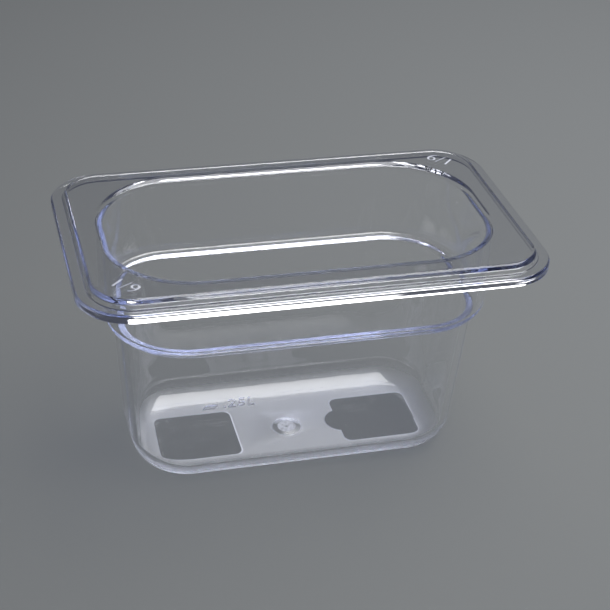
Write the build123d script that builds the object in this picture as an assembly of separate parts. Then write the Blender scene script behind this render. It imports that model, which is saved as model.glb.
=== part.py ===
"""A clear moulded food pan of the ninth gastronorm size, nominally 100 mm deep.

Millimetres, +Z up. The origin is the middle of the underside, where the pan
stands. X runs along the long sides and Y across them.

The pan is one moulding: a floor, a tapered lower wall, a stacking shelf, a
wider upper wall and a stepped rim with a raised sealing face. Every outline
is the rim's outline drawn in by an inset, with a corner radius of its own.
"""

import os

from build123d import *

# overall sizes
rim_length = 176.0
rim_width = 108.0
rim_corner = 20.0
pan_height = 98.4

# sheet thickness of the moulding
wall = 2.4
floor_thickness = 2.8

# rim, from its outer edge inwards
lip_width = 4.3
lip_thickness = 3.0
step_rise = 3.0
step_run = 1.6
sealing_face = 7.3
mouth_round = 3.0
mouth_corner = 30.0

# hollow under the sealing face, set in from the foot and the top of the step
hollow_foot = 0.8
hollow_top = 0.4

# upper wall and stacking shelf
shelf_height = 67.0
upper_draft = 0.4
upper_corner = 28.1
shelf_width = 4.7
shelf_corner = 22.2

# lower wall and floor
lower_draft = 4.7
base_corner = 18.9
base_round = 11.2

# small radii that the mould leaves
lip_edge_round = 1.1
step_top_round = 1.5
step_foot_round = 0.5
hollow_round = 0.5
under_rim_round = 0.6
shelf_round = 2.4
shelf_root_round = 1.0
shelf_heel_round = 3.4
under_shelf_round = 0.3

# polished windows in the underside
window_length = 33.0
window_width = 30.4
window_middle = 37.6
window_corner = 3.5
window_depth = 0.35
tab_radius = 7.5
tab_offset = 14.0

# dimple over the gate, with the pad and the nub that stand in it
gate_well_radius = 6.4
gate_well_depth = 0.5
gate_pad_radius = 4.2
gate_pad_height = 0.25
gate_nub_radius = 0.9
gate_nub_height = 0.4

# how far the cutter of the cavity passes above the rim, the least straight run
# between two roundings, and how near to an outline an edge lies to belong to it
cutter_overrun = 1.0
least_straight = 1.0
edge_tolerance = 0.01

# levels and insets that follow from the sizes above
lip_top = pan_height - step_rise
lip_bottom = lip_top - lip_thickness
ceiling_level = pan_height - wall
step_inset = lip_width + step_run
foot_inset = lip_width + hollow_foot
top_inset = step_inset + hollow_top
mouth_inset = step_inset + sealing_face + mouth_round
shelf_outer_inset = mouth_inset + upper_draft
shelf_inner_inset = shelf_outer_inset + shelf_width
base_inset = shelf_inner_inset + lower_draft
heel_round = min(shelf_heel_round, shelf_width - under_shelf_round - least_straight)


def outline(inset, corner, level):
    """The rim's outline drawn in by inset, with its own corner radius.

    The radius gives way where a narrow pan leaves too short a side for it.
    """
    length = rim_length - 2 * inset
    width = rim_width - 2 * inset
    corner = min(corner, (min(length, width) - least_straight) / 2)
    return Plane.XY.offset(level) * RectangleRounded(length, width, corner)


def tapered(low, high):
    """A block between two outlines."""
    return loft([outline(*low), outline(*high)])


def edges_at(solid, level, inset):
    """The closed loop of edges that follows one outline of the pan."""
    half_length = rim_length / 2 - inset
    half_width = rim_width / 2 - inset
    found = []
    for edge in solid.edges():
        box = edge.bounding_box()
        rise = max(abs(box.min.Z - level), abs(box.max.Z - level))
        reach_x = max(abs(box.min.X), abs(box.max.X))
        reach_y = max(abs(box.min.Y), abs(box.max.Y))
        on_end = abs(reach_x - half_length) < edge_tolerance
        on_side = abs(reach_y - half_width) < edge_tolerance
        if rise < edge_tolerance and (on_end or on_side):
            found.append(edge)
    return found


def make_cavity():
    """The space inside the pan, with the roundings of floor and shelf."""
    lower = tapered(
        (base_inset, base_corner, floor_thickness),
        (shelf_inner_inset, shelf_corner, shelf_height),
    )
    lower = fillet(edges_at(lower, floor_thickness, base_inset), base_round)
    upper = tapered(
        (shelf_outer_inset, upper_corner, shelf_height),
        (mouth_inset, mouth_corner, pan_height),
    )
    upper += extrude(outline(mouth_inset, mouth_corner, pan_height), cutter_overrun)
    cavity = lower + upper
    cavity = fillet(edges_at(cavity, shelf_height, shelf_outer_inset), shelf_root_round)
    return fillet(edges_at(cavity, shelf_height, shelf_inner_inset), shelf_round)


def make_shell():
    """The outside of floor, walls and shelf, up into the sheet of the rim."""
    underside = shelf_height - wall
    lower = tapered(
        (base_inset - wall, base_corner + wall, 0),
        (shelf_inner_inset - wall, shelf_corner + wall, underside),
    )
    lower = fillet(edges_at(lower, 0, base_inset - wall), base_round + wall)
    upper = tapered(
        (shelf_outer_inset - wall, upper_corner + wall, underside),
        (mouth_inset - wall, mouth_corner + wall, ceiling_level),
    )
    upper += extrude(outline(mouth_inset - wall, mouth_corner + wall, ceiling_level), wall / 2)
    shell = lower + upper
    heel = edges_at(shell, underside, shelf_outer_inset - wall)
    shell = fillet(heel, heel_round)
    root = edges_at(shell, underside, shelf_inner_inset - wall)
    return fillet(root, under_shelf_round)


def make_rim():
    """The lip, the step and the sealing face, of one thickness throughout."""
    lip = extrude(outline(0, rim_corner, lip_bottom), lip_thickness)
    face = tapered(
        (lip_width, rim_corner - lip_width, lip_top),
        (step_inset, rim_corner - step_inset, pan_height),
    )
    rim = lip + face
    rim = fillet(edges_at(rim, pan_height, step_inset), step_top_round)
    rim = fillet(edges_at(rim, lip_top, lip_width), step_foot_round)
    rim = fillet(edges_at(rim, lip_top, 0), lip_edge_round)
    hollow = tapered(
        (foot_inset, rim_corner - foot_inset, lip_bottom),
        (top_inset, rim_corner - top_inset, ceiling_level),
    )
    ceiling = edges_at(hollow, ceiling_level, top_inset)
    return rim - fillet(ceiling, hollow_round)


def make_windows():
    """The two polished windows, one with a half-round tab to the middle."""
    sketch = Sketch()
    for side in (-1, 1):
        window = RectangleRounded(window_length, window_width, window_corner)
        sketch += Pos(side * window_middle, 0) * window
    sketch += Pos(window_middle - tab_offset, 0) * Circle(tab_radius)
    return extrude(sketch, window_depth)


def make_gate_well():
    """The round dimple over the gate, less the pad and the nub in it."""
    well = extrude(Circle(gate_well_radius), gate_well_depth)
    pad = extrude(Circle(gate_pad_radius), gate_pad_height)
    nub = extrude(Circle(gate_nub_radius), gate_nub_height)
    well -= Pos(0, 0, gate_well_depth - gate_pad_height) * pad
    return well - Pos(0, 0, gate_well_depth - gate_nub_height) * nub


def make_pan():
    """The whole moulding."""
    pan = make_rim() + make_shell() - make_cavity()
    pan = fillet(edges_at(pan, pan_height, mouth_inset), mouth_round)
    pan = fillet(edges_at(pan, ceiling_level, mouth_inset - wall), under_rim_round)
    return pan - make_windows() - make_gate_well()


os.makedirs("parts", exist_ok=True)
export_step(make_pan(), "parts/pan.step")
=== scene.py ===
import math

import bpy
from mathutils import Matrix, Vector


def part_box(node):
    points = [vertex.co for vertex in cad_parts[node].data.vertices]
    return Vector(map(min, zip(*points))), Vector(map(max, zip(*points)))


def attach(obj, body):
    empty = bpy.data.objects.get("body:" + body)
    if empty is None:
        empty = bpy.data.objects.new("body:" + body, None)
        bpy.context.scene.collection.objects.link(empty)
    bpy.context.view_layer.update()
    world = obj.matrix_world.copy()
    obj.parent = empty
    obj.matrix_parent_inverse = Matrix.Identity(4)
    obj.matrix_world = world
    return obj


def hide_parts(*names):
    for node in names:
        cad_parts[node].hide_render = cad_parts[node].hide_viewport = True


mm = 0.001

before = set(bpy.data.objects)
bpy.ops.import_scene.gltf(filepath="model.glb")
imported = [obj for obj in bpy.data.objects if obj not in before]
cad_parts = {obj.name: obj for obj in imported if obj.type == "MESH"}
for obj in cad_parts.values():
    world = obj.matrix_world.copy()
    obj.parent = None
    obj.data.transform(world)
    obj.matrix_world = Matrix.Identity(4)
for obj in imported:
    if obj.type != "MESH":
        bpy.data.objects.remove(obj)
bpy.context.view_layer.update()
panLow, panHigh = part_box("pan")
print("frame loaded")


# One socket of a node tree, so that sums on it add Math nodes
class Wire:
    def __init__(self, tree, socket):
        self.tree = tree
        self.socket = socket

    def math(self, operation, *others):
        values = dict(enumerate((self,) + others))
        return addNode(self.tree, "ShaderNodeMath", {"operation": operation}, values)

    def reflected(self, operation, other):
        return addNode(self.tree, "ShaderNodeMath", {"operation": operation}, {0: other, 1: self})

    def output(self, name):
        return Wire(self.tree, self.socket.node.outputs[name])

    def __add__(self, other):
        return self.math("ADD", other)

    def __sub__(self, other):
        return self.math("SUBTRACT", other)

    def __rsub__(self, other):
        return self.reflected("SUBTRACT", other)

    def __mul__(self, other):
        return self.math("MULTIPLY", other)

    def __truediv__(self, other):
        return self.math("DIVIDE", other)

    def __rtruediv__(self, other):
        return self.reflected("DIVIDE", other)

    def __neg__(self):
        return self.math("MULTIPLY", -1.0)

    def __mod__(self, other):
        return self.math("FLOORED_MODULO", other)

    def __gt__(self, other):
        return self.math("GREATER_THAN", other)

    def __lt__(self, other):
        return self.math("LESS_THAN", other)

    __radd__ = __add__
    __rmul__ = __mul__


def addNode(tree, kind, settings=None, inputs=None, output=0):
    made = tree.nodes.new(kind)
    for name, value in (settings or {}).items():
        if name == "items":  # an Index Switch starts with two items
            while len(made.index_switch_items) < value:
                made.index_switch_items.new()
        else:
            setattr(made, name, value)
    for name, value in (inputs or {}).items():
        for one in value if isinstance(value, list) else [value]:
            if isinstance(one, Wire):
                tree.links.new(one.socket, made.inputs[name])
            else:
                made.inputs[name].default_value = one
    return Wire(tree, made.outputs[output])


# The pan has the same sizes as the moulding, and its overall box comes from the frame
panSizes = {
    "rimLength": panHigh.x - panLow.x,
    "rimWidth": panHigh.y - panLow.y,
    "panHeight": panHigh.z,
    "rimCorner": 20.0 * mm,
    "wall": 2.4 * mm,
    "floorThickness": 2.8 * mm,
    "lipWidth": 4.3 * mm,
    "lipThickness": 3.0 * mm,
    "stepRise": 3.0 * mm,
    "stepRun": 1.6 * mm,
    "sealingFace": 7.3 * mm,
    "mouthRound": 3.0 * mm,
    "mouthCorner": 30.0 * mm,
    "shelfHeight": 67.0 * mm,
    "upperDraft": 0.4 * mm,
    "upperCorner": 28.1 * mm,
    "shelfWidth": 4.7 * mm,
    "shelfCorner": 22.2 * mm,
    "lowerDraft": 4.7 * mm,
    "baseCorner": 18.9 * mm,
    "baseRound": 11.2 * mm,
    "lipEdgeRound": 1.1 * mm,
    "stepTopRound": 1.5 * mm,
    "stepFootRound": 0.5 * mm,
    "hollowFoot": 0.8 * mm,
    "hollowTop": 0.4 * mm,
    "hollowRound": 0.5 * mm,
    "shelfRound": 2.4 * mm,
    "shelfRootRound": 1.0 * mm,
    "shelfHeelRound": 3.4 * mm,
    "underShelfRound": 0.3 * mm,
    "underRimRound": 0.6 * mm,
    "flatRing": 40.0 * mm,  # inset at which the flat floors take over
}

detailSizes = {
    "windowLength": 33.6 * mm,
    "windowWidth": 30.4 * mm,
    "windowMiddle": 37.6 * mm,
    "windowCorner": 3.5 * mm,
    "windowDepth": 0.35 * mm,
    "windowTaper": 0.965,
    "tabRadius": 7.5 * mm,
    "tabTaper": 0.95,
    "tabOffset": 14.0 * mm,
    "gateWellRadius": 6.4 * mm,
    "gateWellDepth": 0.8 * mm,
    "gatePadRadius": 3.7 * mm,
    "gatePadRoof": 0.5 * mm,
    "gateNubRadius": 0.9 * mm,
    "gateNubRoof": 0.15 * mm,
    "markHeight": 8.4 * mm,
    "markDepth": 0.35 * mm,
    "markX": 70.7 * mm,
    "markY": 38.1 * mm,
    "markTurn": math.radians(-45),
    "fillHeight": 5.3 * mm,
    "fillStretch": 1.3,
    "fillRelief": 0.5 * mm,
    "fillRoot": 0.3 * mm,
    "fillX": -27.9 * mm,
    "fillZ": 39.8 * mm,
    "barX": -38.9 * mm,
    "barZ": 39.0 * mm,
    "barLength": 4.5 * mm,
    "barHeight": 1.5 * mm,
    "barLean": 1.1 * mm,
}

meshQuality = {
    "arcSteps": 30,
    "sideSteps": 3,
    "roundSteps": 8,
    "roundStepsPerMetre": 1250.0,
    "supportReach": 1.12,  # how far past a rounding its support point lies
    "supportMargin": 0.15 * mm,
    "supportShare": 0.98,
    "mergeDistance": 0.002 * mm,
    "cutBelow": 0.05 * mm,
    "cutAbove": 1.5 * mm,
    "discSteps": 48,
    "windowCornerSteps": 8,
    "bowlSegments": 64,
    "bowlRings": 128,
    "letterSpacing": 1.05,
    "sharpAngle": math.radians(25),
}


# Levels, and insets from the rim's edge, as numbers or as wires
def panLevels(size):
    stepInset = size["lipWidth"] + size["stepRun"]
    mouthInset = stepInset + size["sealingFace"] + size["mouthRound"]
    shelfOuter = mouthInset + size["upperDraft"]
    shelfInner = shelfOuter + size["shelfWidth"]
    lipTop = size["panHeight"] - size["stepRise"]
    return {
        "stepInset": stepInset,
        "mouthInset": mouthInset,
        "shelfOuter": shelfOuter,
        "shelfInner": shelfInner,
        "baseInset": shelfInner + size["lowerDraft"],
        "lipTop": lipTop,
        "lipBottom": lipTop - size["lipThickness"],
        "underShelf": size["shelfHeight"] - size["wall"],
        "ceiling": size["panHeight"] - size["wall"],
    }


# One geometry tree with named sizes, and the nodes that shape meshes in it
class Bench:
    def __init__(self, name, sizes):
        self.tree = bpy.data.node_groups.new(name, "GeometryNodeTree")
        sockets = self.tree.interface
        sockets.new_socket("Geometry", in_out="OUTPUT", socket_type="NodeSocketGeometry")
        for label, value in sizes.items():
            socket = sockets.new_socket(label, in_out="INPUT", socket_type="NodeSocketFloat")
            socket.default_value = value
        given = self.tree.nodes.new("NodeGroupInput")
        self.size = {one.name: Wire(self.tree, one) for one in given.outputs if one.name}
        self.index = self.add("GeometryNodeInputIndex")
        self.position = self.add("GeometryNodeInputPosition")

    def add(self, kind, settings=None, inputs=None, output=0):
        return addNode(self.tree, kind, settings, inputs, output)

    def finish(self, geometry):
        result = self.tree.nodes.new("NodeGroupOutput")
        self.tree.links.new(geometry.socket, result.inputs[0])
        return self.tree

    def vector(self, x, y, z):
        return self.add("ShaderNodeCombineXYZ", {}, {0: x, 1: y, 2: z})

    def parts(self, position):
        split = self.add("ShaderNodeSeparateXYZ", {}, {0: position})
        return [split.output(axis) for axis in "XYZ"]

    def vectors(self, operation, a, b=(0, 0, 0), output=0):
        inputs = {0: a, 1: b} if operation != "SCALE" else {0: a, 3: b}
        return self.add("ShaderNodeVectorMath", {"operation": operation}, inputs, output)

    def moved(self, geometry, position, selection=True):
        inputs = {"Geometry": geometry, "Position": position, "Selection": selection}
        return self.add("GeometryNodeSetPosition", {}, inputs)

    def placed(self, geometry, move=(0, 0, 0), turn=(0, 0, 0), scale=(1, 1, 1)):
        inputs = {"Geometry": geometry, "Translation": move, "Rotation": turn, "Scale": scale}
        return self.add("GeometryNodeTransform", {}, inputs)

    def joined(self, *geometries):
        return self.add("GeometryNodeJoinGeometry", {}, {0: list(geometries)})

    def flipped(self, mesh):
        return self.add("GeometryNodeFlipFaces", {}, {0: mesh})

    def merged(self, mesh):
        inputs = {"Geometry": mesh, "Distance": meshQuality["mergeDistance"]}
        return self.add("GeometryNodeMergeByDistance", {}, inputs)

    def cut(self, mesh, *tools):
        settings = {"operation": "DIFFERENCE", "solver": "EXACT"}
        return self.add("GeometryNodeMeshBoolean", settings, {0: mesh, 1: list(tools)})

    def added(self, mesh, *others):
        settings = {"operation": "UNION", "solver": "EXACT"}
        return self.add("GeometryNodeMeshBoolean", settings, {1: [mesh, *others]})

    def rounded(self, curve, radius, count):
        inputs = {"Curve": curve, "Radius": radius, "Count": count}
        return self.add("GeometryNodeFilletCurve", {"mode": "POLY"}, inputs)

    def perItem(self, dataType, values, at):
        settings = {"data_type": dataType, "items": len(values)}
        inputs = {0: at, **{place + 1: value for place, value in enumerate(values)}}
        return self.add("GeometryNodeIndexSwitch", settings, inputs)

    def sampled(self, geometry, at):
        settings = {"data_type": "FLOAT_VECTOR", "domain": "POINT"}
        inputs = {0: geometry, 1: self.position, 2: at}
        return self.add("GeometryNodeSampleIndex", settings, inputs)

    def prism(self, curve, low, high, taper=None):
        face = self.add("GeometryNodeFillCurve", {"mode": "NGONS"}, {0: curve})
        face = self.placed(face, self.vector(0.0, 0.0, low))
        rise = self.vector(0.0, 0.0, high - low)
        inputs = {"Mesh": face, "Offset": rise, "Individual": False}
        top = self.add("GeometryNodeExtrudeMesh", {"mode": "FACES"}, inputs)
        if taper is not None:
            settings = {"domain": "FACE", "scale_mode": "UNIFORM"}
            inputs = {0: top, 1: top.output("Top"), 2: taper}
            top = self.add("GeometryNodeScaleElements", settings, inputs)
        return self.merged(self.joined(top, self.flipped(face)))

    def disc(self, radius, low, high, taper=None):
        inputs = {0: meshQuality["discSteps"], "Radius": radius}
        circle = self.add("GeometryNodeCurvePrimitiveCircle", {}, inputs)
        return self.prism(circle, low, high, taper)

    def lettering(self, words, height, low, high, stretch=1.0):
        spacing = meshQuality["letterSpacing"]
        inputs = {"String": words, "Size": height, "Character Spacing": spacing}
        settings = {"align_x": "CENTER", "align_y": "MIDDLE", "pivot_mode": "MIDPOINT"}
        text = self.add("GeometryNodeStringToCurves", settings, inputs)
        text = self.add("GeometryNodeRealizeInstances", {}, {0: text})
        text = self.placed(text, scale=self.vector(stretch, 1.0, 1.0))
        return self.prism(text, low, high)


# Each corner of the wall's section: inset, inset of its arc's centre, level, rounding
def sectionCorners(size):
    at = panLevels(size)
    wall = size["wall"]
    rim = size["rimCorner"]
    mouth = at["mouthInset"] + size["mouthCorner"]
    upper = at["shelfOuter"] + size["upperCorner"]
    shelf = at["shelfInner"] + size["shelfCorner"]
    base = at["baseInset"] + size["baseCorner"]
    hollowTop = at["stepInset"] + size["hollowTop"]
    hollowFoot = size["lipWidth"] + size["hollowFoot"]
    return [
        (size["flatRing"], base, 0.0, 0.0),
        (at["baseInset"] - wall, base, 0.0, size["baseRound"] + wall),
        (at["shelfInner"] - wall, shelf, at["underShelf"], size["underShelfRound"]),
        (at["shelfOuter"] - wall, upper, at["underShelf"], size["shelfHeelRound"]),
        (at["mouthInset"] - wall, mouth, at["ceiling"], size["underRimRound"]),
        (hollowTop, rim, at["ceiling"], size["hollowRound"]),
        (hollowFoot, rim, at["lipBottom"], 0.0),
        (0.0, rim, at["lipBottom"], 0.0),
        (0.0, rim, at["lipTop"], size["lipEdgeRound"]),
        (size["lipWidth"], rim, at["lipTop"], size["stepFootRound"]),
        (at["stepInset"], rim, size["panHeight"], size["stepTopRound"]),
        (at["mouthInset"], mouth, size["panHeight"], size["mouthRound"]),
        (at["shelfOuter"], upper, size["shelfHeight"], size["shelfRootRound"]),
        (at["shelfInner"], shelf, size["shelfHeight"], size["shelfRound"]),
        (at["baseInset"], base, size["floorThickness"], size["baseRound"]),
        (size["flatRing"], base, size["floorThickness"], 0.0),
    ]


# The section's rounded line, with its inset, arc centre and level as X, Y and Z
def sectionLine(bench, corners):
    places = [bench.vector(inset, centre, level) for inset, centre, level, _ in corners]
    rounds = [rounding for *_, rounding in corners]
    line = bench.add("GeometryNodeMeshLine", {}, {0: len(corners)})
    line = bench.add("GeometryNodeMeshToCurve", {}, {0: line})
    line = bench.moved(line, bench.perItem("VECTOR", places, bench.index))

    # each run gets a point close to its two ends, which keeps the flats flat
    runs = bench.add("GeometryNodeSubdivideCurve", {}, {0: line, 1: 2})
    before = (bench.index / 3.0).math("FLOOR")
    place = bench.index % 3.0
    isLast = place > 1.5
    own = before + isLast
    other = before + 1.0 - isLast
    away = bench.vectors("SUBTRACT", bench.sampled(line, other), bench.sampled(line, own))
    away = bench.vectors("MULTIPLY", away, (1, 0, 1))

    def wanted(corner):
        rounding = bench.perItem("FLOAT", rounds, corner)
        return rounding * meshQuality["supportReach"] + meshQuality["supportMargin"]

    reach = wanted(own)
    share = bench.vectors("LENGTH", away, output=1) * reach / (reach + wanted(other))
    reach = reach.math("MINIMUM", share * meshQuality["supportShare"])
    step = bench.vectors("SCALE", bench.vectors("NORMALIZE", away), reach)
    support = bench.vectors("ADD", bench.sampled(line, own), step)
    runs = bench.moved(runs, support, place > 0.5)
    rounding = bench.perItem("FLOAT", rounds, before) * (place < 0.5)
    count = rounding * meshQuality["roundStepsPerMetre"] + meshQuality["roundSteps"]
    return bench.rounded(runs, rounding, count)


# Where a section point lies in one column: arcs at the corners, straight runs between
def aroundPan(bench, column, inset, centre, level):
    arcSteps = meshQuality["arcSteps"]
    sideSteps = meshQuality["sideSteps"]
    quarter = arcSteps + sideSteps
    corner = (column / quarter).math("FLOOR")
    along = column % quarter
    turn = (corner + (along / arcSteps).math("MINIMUM", 1.0)) * (math.pi / 2)
    share = ((along - arcSteps) / sideSteps).math("MAXIMUM", 0.0)
    start = (corner + 0.5) * (math.pi / 2)
    end = (corner + 1.5) * (math.pi / 2)
    places = []
    for trig, length in (("COSINE", bench.size["rimLength"]), ("SINE", bench.size["rimWidth"])):
        first = start.math(trig).math("SIGN")
        second = end.math(trig).math("SIGN")
        side = first + (second - first) * share
        places.append(side * (length * 0.5 - centre) + turn.math(trig) * (centre - inset))
    return bench.vector(places[0], places[1], level)


# The section swept round the pan, and the two flats that close it
def sweptShell(bench):
    corners = sectionCorners(bench.size)
    line = sectionLine(bench, corners)
    count = bench.add("GeometryNodeAttributeDomainSize", {"component": "CURVE"}, {0: line})
    columns = 4 * (meshQuality["arcSteps"] + meshQuality["sideSteps"])
    inputs = {"Vertices X": columns + 1, "Vertices Y": count}
    skin = bench.add("GeometryNodeMeshGrid", {}, inputs)
    inset, centre, level = bench.parts(bench.sampled(line, bench.index % count))
    column = (bench.index / count).math("FLOOR")
    skin = bench.moved(skin, aroundPan(bench, column, inset, centre, level))

    def flat(corner):
        inset, centre, level, _ = corner
        disc = bench.add("GeometryNodeMeshCircle", {"fill_type": "NGON"}, {0: columns})
        return bench.moved(disc, aroundPan(bench, bench.index, inset, centre, level))

    underside = bench.flipped(flat(corners[0]))
    return bench.merged(bench.joined(skin, flat(corners[-1]), underside))


def windowCutters(bench):
    size = bench.size
    below = -meshQuality["cutBelow"]
    inputs = {0: size["windowLength"], 1: size["windowWidth"]}
    window = bench.add("GeometryNodeCurvePrimitiveQuadrilateral", {}, inputs)
    window = bench.rounded(window, size["windowCorner"], meshQuality["windowCornerSteps"])
    window = bench.prism(window, below, size["windowDepth"], size["windowTaper"])
    tab = bench.disc(size["tabRadius"], below, size["windowDepth"], size["tabTaper"])
    return [
        bench.placed(window, bench.vector(-size["windowMiddle"], 0.0, 0.0)),
        bench.placed(window, bench.vector(size["windowMiddle"], 0.0, 0.0)),
        bench.placed(tab, bench.vector(size["windowMiddle"] - size["tabOffset"], 0.0, 0.0)),
    ]


# A shallow bowl over the gate, less the pad and the nub that stand in it
def gateCutter(bench):
    size = bench.size
    above = meshQuality["cutAbove"]
    depth = size["gateWellDepth"]
    radius = size["gateWellRadius"]
    bowlRadius = (radius * radius / depth + depth) * 0.5
    steps = {"Segments": meshQuality["bowlSegments"], "Rings": meshQuality["bowlRings"]}
    bowl = bench.add("GeometryNodeMeshUVSphere", {}, {**steps, "Radius": bowlRadius})
    return bench.cut(
        bench.placed(bowl, bench.vector(0.0, 0.0, depth - bowlRadius)),
        bench.disc(size["gatePadRadius"], size["gatePadRoof"], above),
        bench.disc(size["gateNubRadius"], size["gateNubRoof"], above),
    )


# The size fraction, sunk into two opposite corners of the rim
def markCutters(bench):
    size = bench.size
    low = size["panHeight"] - size["markDepth"]
    high = size["panHeight"] + meshQuality["cutAbove"]
    mark = bench.lettering("1/9", size["markHeight"], low, high)
    move = bench.vector(-size["markX"], -size["markY"], 0.0)
    nearMark = bench.placed(mark, move, bench.vector(0.0, 0.0, size["markTurn"]))
    return [nearMark, bench.placed(nearMark, turn=(0, 0, math.pi))]


# The fill line's words and bar, raised on the leaning front wall
def fillLine(bench):
    size = bench.size
    at = panLevels(size)
    root = -size["fillRoot"]
    relief = size["fillRelief"]
    words = bench.lettering(".25L", size["fillHeight"], root, relief, size["fillStretch"])
    settings = {"mode": "PARALLELOGRAM"}
    inputs = {"Width": size["barLength"], "Height": size["barHeight"], "Offset": size["barLean"]}
    bar = bench.add("GeometryNodeCurvePrimitiveQuadrilateral", settings, inputs)
    bar = bench.prism(bar, root, relief)
    lean = (size["lowerDraft"] / at["underShelf"]).math("ARCTANGENT")
    upright = bench.vector(lean + math.pi / 2, 0.0, 0.0)
    marks = []
    for mark, x, z in ((words, size["fillX"], size["fillZ"]), (bar, size["barX"], size["barZ"])):
        inset = at["baseInset"] - size["wall"] - z * size["lowerDraft"] / at["underShelf"]
        move = bench.vector(x, inset - size["rimWidth"] * 0.5, z)
        marks.append(bench.placed(mark, move, upright))
    return marks


def panTree():
    bench = Bench("panTree", {**panSizes, **detailSizes})
    body = sweptShell(bench)
    body = bench.cut(body, *windowCutters(bench), gateCutter(bench), *markCutters(bench))
    body = bench.added(body, *fillLine(bench))
    angle = bench.add("GeometryNodeInputMeshEdgeAngle")
    body = bench.add("GeometryNodeSetShadeSmooth", {"domain": "FACE"}, {0: body})
    inputs = {0: body, 1: angle > meshQuality["sharpAngle"], 2: False}
    body = bench.add("GeometryNodeSetShadeSmooth", {"domain": "EDGE"}, inputs)
    body = bench.add("GeometryNodeRealizeInstances", {}, {0: body})
    inputs = {0: body, "Material": bpy.data.materials["clearPolycarbonate"]}
    return bench.finish(bench.add("GeometryNodeSetMaterial", {}, inputs))


def plainMesh(name, tree, sizes):
    carrier = bpy.data.objects.new(name + "Carrier", bpy.data.meshes.new(name + "Carrier"))
    bpy.context.scene.collection.objects.link(carrier)
    modifier = carrier.modifiers.new("tree", "NODES")
    modifier.node_group = tree
    for socket in tree.interface.items_tree:
        if socket.item_type == "SOCKET" and socket.in_out == "INPUT":
            modifier[socket.identifier] = sizes[socket.name]
    bpy.context.view_layer.update()
    evaluated = carrier.evaluated_get(bpy.context.evaluated_depsgraph_get())
    mesh = bpy.data.meshes.new_from_object(evaluated)
    mesh.name = name
    bpy.data.objects.remove(carrier)
    made = bpy.data.objects.new(name, mesh)
    bpy.context.scene.collection.objects.link(made)
    return made


plasticLook = {
    "refraction": 1.585,
    "tint": (0.56, 0.63, 0.88, 1.0),
    "tintDensity": 12.0,
    "shadowTint": (0.92, 0.925, 0.94, 1.0),
    # the frost's haze, also used for painted highlights on small details
    "hazeAndHighlightColour": (0.8, 0.82, 0.9, 1.0),
    "frostRoughness": 0.35,
    "frostTop": 10.0 * mm,
    "frostFade": 2.0,
    "lowestSlant": 0.03,  # a face turned down less than this has no frost
    "slantFade": 8.0,
    "frostHaze": 0.11,
    "frostSpeckle": 0.8,
    "speckleContrast": 5.0,
    "gateFrost": 0.45,  # share of the frost that the gate bowl keeps
    "roofMargin": 0.06 * mm,
    "squarely": 0.999,  # how straight down a level face looks
    "windowEdgeHighlight": 1.0,
    "edgeSlants": (0.2, 0.9),
    "markHighlight": 0.6,
    "markReach": 7.5 * mm,
    "markMargin": 0.03 * mm,
    "gateHazeAndHighlight": 0.5,
    "ringSpacing": 0.95 * mm,
    "ringLow": 0.7,
    "ringRise": 0.6,
    "nubShare": 0.7,  # share of the nub's radius that stays clear
    "bowlEdge": 0.6 * mm,
    "undersideTop": 2.0 * mm,
    "fillHighlight": 0.3,
    "fillBand": (30.0 * mm, 50.0 * mm),
    "fillShare": 0.6,  # share of the relief past which a face is a raised one
    "grainSize": 0.75 * mm,
    "grainDepth": 0.04 * mm,
    "grainDetail": 2.0,
    "grainRoughness": 0.6,
    "hair": 0.01 * mm,  # how far off a level still counts as on it
}


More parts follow.
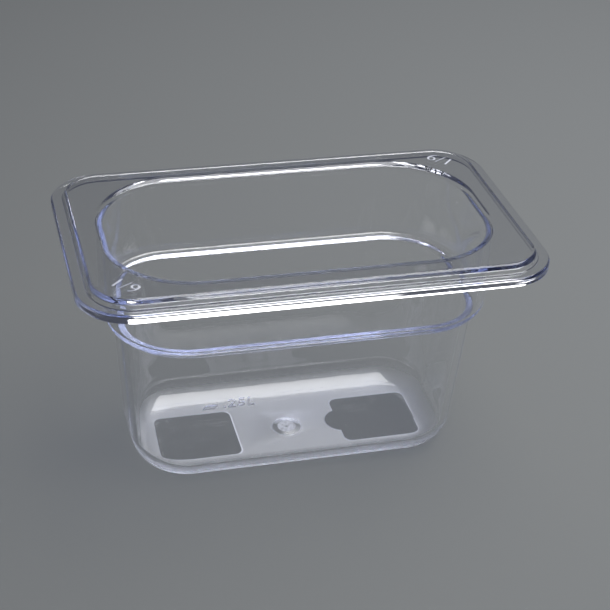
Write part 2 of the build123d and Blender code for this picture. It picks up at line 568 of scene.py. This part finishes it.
# What the masks of one material are made from: place, height, facing and distances
class PlasticMasks:
    def __init__(self, tree):
        self.tree = tree
        self.place = addNode(tree, "ShaderNodeTexCoord", {}, {}, 3)
        facing = addNode(tree, "ShaderNodeNewGeometry", {}, {}, 1)
        fromInside = facing.output("Backfacing")
        self.height = addNode(tree, "ShaderNodeSeparateXYZ", {}, {0: self.place}, 2)
        self.across = self.height.output("Y")
        upward = addNode(tree, "ShaderNodeSeparateXYZ", {}, {0: facing}, 2)
        self.down = -(upward * (1.0 - fromInside * 2.0))
        self.flat = self.vectors("MULTIPLY", self.place, (1, 1, 0))
        self.fromGate = self.vectors("LENGTH", self.flat, output=1)

    def vectors(self, operation, a, b=(0, 0, 0), output=0):
        settings = {"operation": operation}
        return addNode(self.tree, "ShaderNodeVectorMath", settings, {0: a, 1: b}, output)

    def limited(self, wire):
        return addNode(self.tree, "ShaderNodeClamp", {}, {0: wire})

    def between(self, wire, low, high):
        return (wire > low) * (wire < high)

    # the mould's fine texture covers the underside and its rounding, not the windows
    def frost(self):
        look = plasticLook
        low = self.limited((1.0 - self.height / look["frostTop"]) * look["frostFade"])
        lowered = self.limited((self.down - look["lowestSlant"]) * look["slantFade"])
        roof = detailSizes["windowDepth"]
        margin = look["roofMargin"]
        polished = self.between(self.height, roof - margin, roof + margin)
        polished = polished * (self.down > look["squarely"])
        thinned = 1.0 - self.nearGate() * (1.0 - look["gateFrost"])
        return low * lowered * (1.0 - polished) * thinned

    def nearGate(self):
        below = self.height < plasticLook["undersideTop"]
        return (self.fromGate < detailSizes["gateWellRadius"]) * below

    # the pad's turned face with its rings, and a painted highlight on the edge of the bowl
    def gateHazeAndBowlHighlight(self):
        look = plasticLook
        ring = (self.fromGate / look["ringSpacing"] % 1.0) * look["ringRise"] + look["ringLow"]
        clear = detailSizes["gateNubRadius"] * look["nubShare"]
        onPad = self.between(self.fromGate, clear, detailSizes["gatePadRadius"])
        pad = onPad * (self.down > look["squarely"]) * ring
        bowlHighlight = self.fromGate > detailSizes["gateWellRadius"] - look["bowlEdge"]
        bowlHighlight = bowlHighlight * (self.height > look["hair"])
        return (pad + bowlHighlight) * self.nearGate()

    # the small slopes round the windows, painted white as a highlight
    def windowSlopes(self):
        onSlope = self.between(self.height, plasticLook["hair"], detailSizes["windowDepth"])
        return onSlope * self.between(self.down, *plasticLook["edgeSlants"])

    # the fractions sunk into the rim, found by their distance from a mark's middle, and painted
    # pale as a highlight
    def sunkMarks(self):
        mirrored = self.vectors("ABSOLUTE", self.flat)
        middle = (detailSizes["markX"], detailSizes["markY"], 0)
        fromMark = self.vectors("DISTANCE", mirrored, middle, 1)
        top = panSizes["panHeight"] - plasticLook["markMargin"]
        sunk = self.between(self.height, top - detailSizes["markDepth"], top)
        return sunk * (fromMark < plasticLook["markReach"])

    # the raised faces of the fill line stand out from the leaning wall, and are painted pale as a
    # highlight
    def fillFaces(self):
        at = panLevels(panSizes)
        wallFoot = panSizes["rimWidth"] / 2 - at["baseInset"] + panSizes["wall"]
        drift = panSizes["lowerDraft"] / at["underShelf"]
        proud = -self.across - self.height * drift - wallFoot
        onWall = self.between(self.height, *plasticLook["fillBand"])
        return onWall * (proud > detailSizes["fillRelief"] * plasticLook["fillShare"])


def clearPolycarbonate():
    look = plasticLook
    material = bpy.data.materials.new("clearPolycarbonate")
    material.use_nodes = True
    tree = material.node_tree
    tree.nodes.clear()
    masks = PlasticMasks(tree)
    frost = masks.frost()
    inputs = {
        "Vector": masks.place,
        "Scale": 1 / look["grainSize"],
        "Detail": look["grainDetail"],
        "Roughness": look["grainRoughness"],
    }
    grain = addNode(tree, "ShaderNodeTexNoise", {}, inputs)
    inputs = {"Strength": 1.0, "Distance": look["grainDepth"], "Height": grain * frost}
    bump = addNode(tree, "ShaderNodeBump", {}, inputs)
    inputs = {
        "Base Color": (1.0, 1.0, 1.0, 1.0),
        "Roughness": frost * look["frostRoughness"],
        "IOR": look["refraction"],
        "Transmission Weight": 1.0,
        "Normal": bump,
    }
    plastic = addNode(tree, "ShaderNodeBsdfPrincipled", {}, inputs)
    # a pale diffuse: the frost's haze, and painted highlights on the window slopes, the sunk
    # marks, the gate bowl's edge and the fill line
    hazeAndHighlightShader = addNode(tree, "ShaderNodeBsdfDiffuse", {}, {0: look["hazeAndHighlightColour"]})
    speckle = masks.limited((grain - 0.5) * look["speckleContrast"] + 0.5) - 0.5
    hazeAndHighlightShare = speckle * look["frostSpeckle"] + look["frostHaze"]
    hazeAndHighlightShare = frost * masks.down * masks.down * masks.down * hazeAndHighlightShare
    hazeAndHighlightShare = hazeAndHighlightShare + masks.windowSlopes() * look["windowEdgeHighlight"] + masks.sunkMarks() * look["markHighlight"]
    hazeAndHighlightShare = hazeAndHighlightShare + masks.gateHazeAndBowlHighlight() * look["gateHazeAndHighlight"] + masks.fillFaces() * look["fillHighlight"]
    inputs = {0: masks.limited(hazeAndHighlightShare), 1: plastic, 2: hazeAndHighlightShader}
    hazed = addNode(tree, "ShaderNodeMixShader", {}, inputs)

    # a shadow ray passes straight on, a little tinted
    through = addNode(tree, "ShaderNodeBsdfTransparent", {}, {0: look["shadowTint"]})
    shadowRay = addNode(tree, "ShaderNodeLightPath", {}, {}, 1)
    surface = addNode(tree, "ShaderNodeMixShader", {}, {0: shadowRay, 1: hazed, 2: through})
    inputs = {"Color": look["tint"], "Density": look["tintDensity"]}
    tint = addNode(tree, "ShaderNodeVolumeAbsorption", {}, inputs)
    output = tree.nodes.new("ShaderNodeOutputMaterial")
    tree.links.new(surface.socket, output.inputs["Surface"])
    tree.links.new(tint.socket, output.inputs["Volume"])
    return material


clearPolycarbonate()
clearPan = plainMesh("clearPan", panTree(), {**panSizes, **detailSizes})
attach(clearPan, "root")
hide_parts("pan")
print("pan made:", len(clearPan.data.vertices), "vertices")


studio = {
    "floorSize": 6.0,
    "floorDrop": 0.15 * mm,
    "floorColour": (0.16, 0.168, 0.17, 1.0),
    "floorRoughness": 0.9,
    "worldColour": (0.055, 0.06, 0.085, 1.0),
    "worldStrength": 1.0,
}

lamps = {
    # name: (position, size, power, colour)
    "overheadSoftbox": ((0.42, 0.0, 1.05), (0.9, 1.2), 20.0, (1.0, 1.0, 1.0)),
}


def paleFloor():
    half = studio["floorSize"] / 2
    drop = -studio["floorDrop"]
    mesh = bpy.data.meshes.new("paleFloor")
    corners = [(-half, -half, drop), (half, -half, drop), (half, half, drop), (-half, half, drop)]
    mesh.from_pydata(corners, [], [(0, 1, 2, 3)])
    floor = bpy.data.objects.new("paleFloor", mesh)
    bpy.context.scene.collection.objects.link(floor)
    material = bpy.data.materials.new("palePaper")
    material.use_nodes = True
    paper = material.node_tree.nodes["Principled BSDF"]
    paper.inputs["Base Color"].default_value = studio["floorColour"]
    paper.inputs["Roughness"].default_value = studio["floorRoughness"]
    mesh.materials.append(material)


def softLamps():
    world = bpy.data.worlds.new("studioWorld")
    world.use_nodes = True
    background = world.node_tree.nodes["Background"]
    background.inputs["Color"].default_value = studio["worldColour"]
    background.inputs["Strength"].default_value = studio["worldStrength"]
    bpy.context.scene.world = world
    for name, (place, size, power, colour) in lamps.items():
        light = bpy.data.lights.new(name, "AREA")
        light.shape = "RECTANGLE"
        light.size, light.size_y = size
        light.energy = power
        light.color = colour
        lamp = bpy.data.objects.new(name, light)
        lamp.location = place
        bpy.context.scene.collection.objects.link(lamp)


view = {
    "focal": 90.01,
    "sensor": 36.0,
    "nearest": 0.01,
    "yaw": math.radians(16.12),
    "pitch": math.radians(31.72),
    "roll": math.radians(3.07),
    "distance": 578.2 * mm,
    "right": 3.73 * mm,
    "up": -28.27 * mm,
    "targetZ": 92.6 * mm,
}


def studioCamera():
    yaw, pitch, roll = view["yaw"], view["pitch"], view["roll"]
    ahead = Vector(
        (math.sin(yaw) * math.cos(pitch), math.cos(yaw) * math.cos(pitch), -math.sin(pitch))
    )
    level = Vector((math.cos(yaw), -math.sin(yaw), 0))
    over = level.cross(ahead)
    right = math.cos(roll) * level + math.sin(roll) * over
    up = -math.sin(roll) * level + math.cos(roll) * over
    target = Vector((0, 0, view["targetZ"]))
    place = target - view["distance"] * ahead + view["right"] * right + view["up"] * up
    lens = bpy.data.cameras.new("studioCamera")
    lens.lens = view["focal"]
    lens.sensor_width = view["sensor"]
    lens.clip_start = view["nearest"]
    camera = bpy.data.objects.new("studioCamera", lens)
    turn = Matrix((right, up, -ahead)).transposed()
    camera.matrix_world = Matrix.Translation(place) @ turn.to_4x4()
    bpy.context.scene.collection.objects.link(camera)
    bpy.context.scene.camera = camera


lightBounces = 48  # light is passed on many times inside the clear walls


def renderSettings():
    scene = bpy.context.scene
    scene.view_settings.view_transform = "Standard"
    scene.cycles.max_bounces = lightBounces
    scene.cycles.glossy_bounces = lightBounces
    scene.cycles.transmission_bounces = lightBounces
    # the plastic's shadow already passes light on, so it isn't counted twice
    scene.cycles.caustics_refractive = False
    scene.cycles.caustics_reflective = False


paleFloor()
softLamps()
studioCamera()
renderSettings()
print("studio ready")
